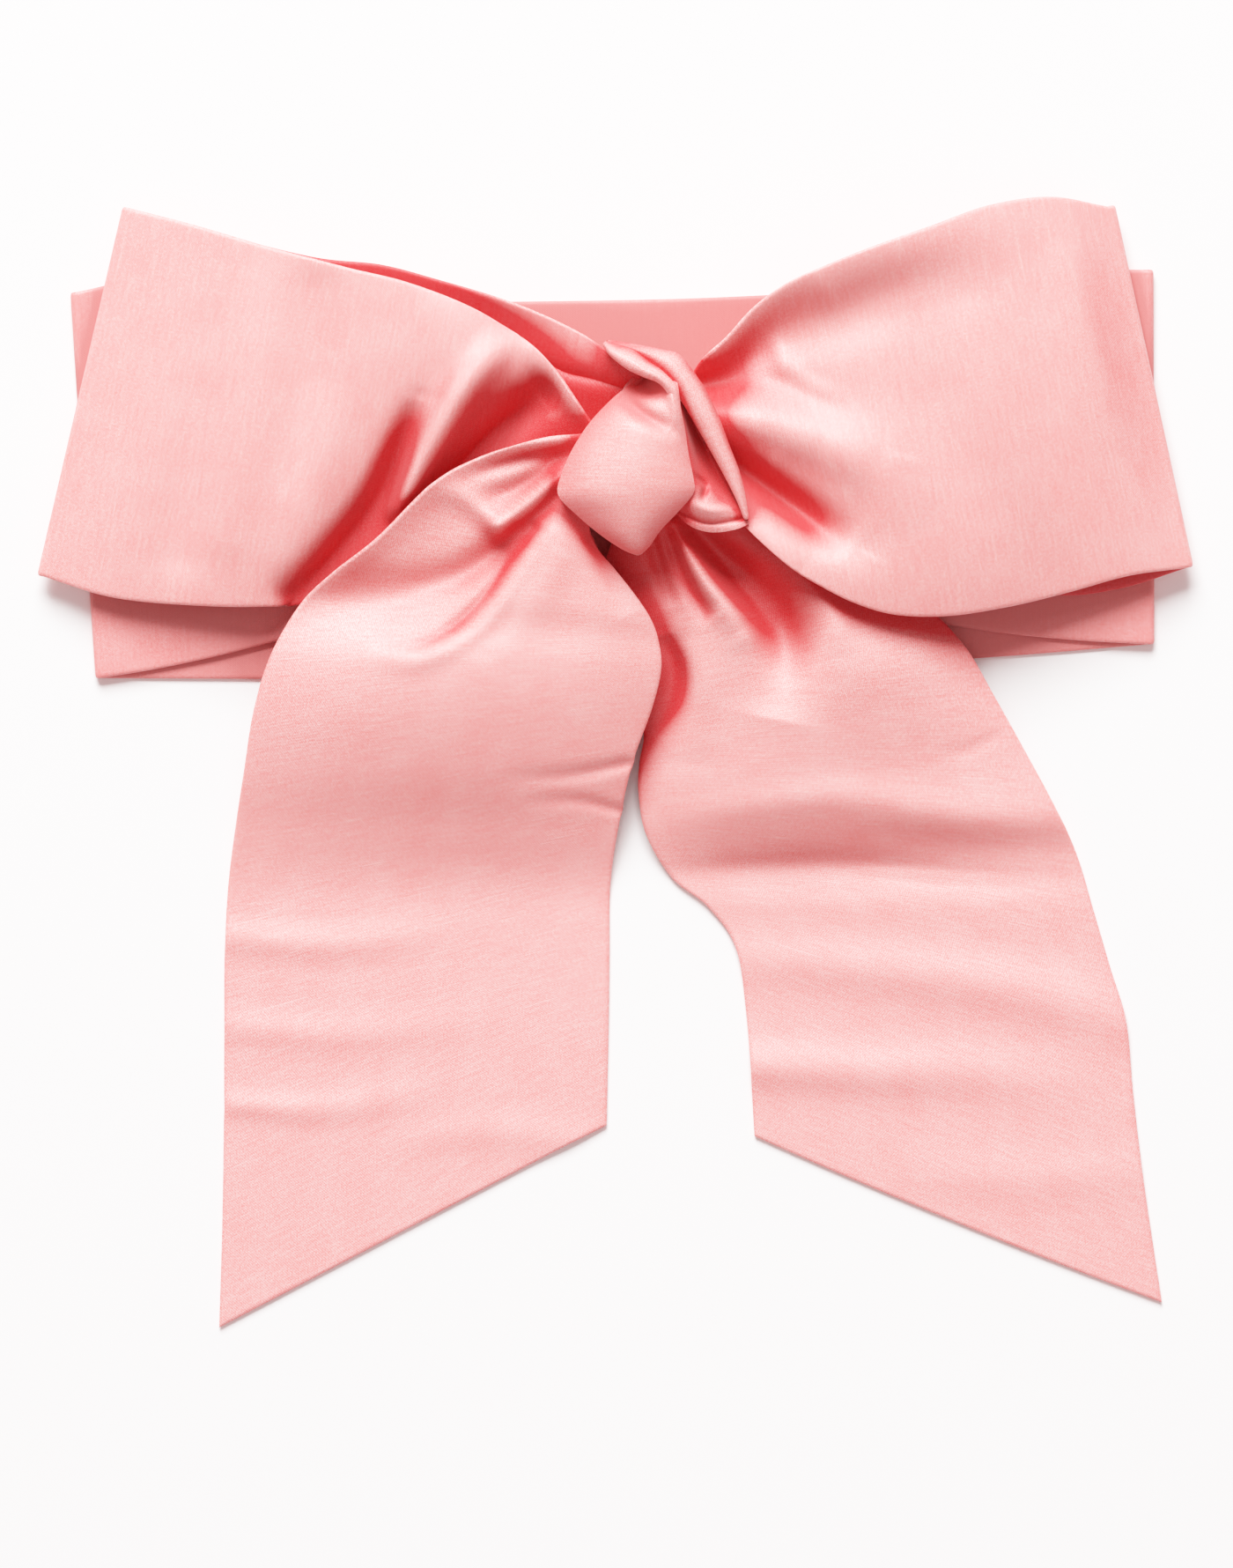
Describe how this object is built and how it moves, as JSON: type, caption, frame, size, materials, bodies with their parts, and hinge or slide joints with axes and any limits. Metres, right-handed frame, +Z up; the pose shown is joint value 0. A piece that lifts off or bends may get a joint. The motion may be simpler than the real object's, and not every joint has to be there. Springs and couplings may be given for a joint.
{
  "type": "silk sash",
  "caption": "Silk sash tied in a large flat bow: a pressed waist loop, two bow loops, a wrapped knot and two tails with slanted ends.",
  "frame": {"origin": "centre of the sash's outline on the surface that it lies on", "axes": "+Z up off the surface; +X to the right across the bow and +Y from the tails' ends towards the waist loop, as the sash is looked down on"},
  "size_m": [0.2976, 0.2911, 0.0376],
  "materials": {
    "silk": "pale pink slubbed silk with a soft sheen"
  },
  "bodies": {
    "root": {"waist_back": "silk", "waist_front_left": "silk", "waist_front_right": "silk", "loop_left_back": "silk", "loop_left_front": "silk", "loop_right_back": "silk", "loop_right_front": "silk", "tail_left": "silk", "tail_right": "silk", "knot_core": "silk", "knot_wrap": "silk", "knot_lip": "silk", "knot_pleat_outer": "silk", "knot_pleat_inner": "silk"}
  },
  "joints": []
}
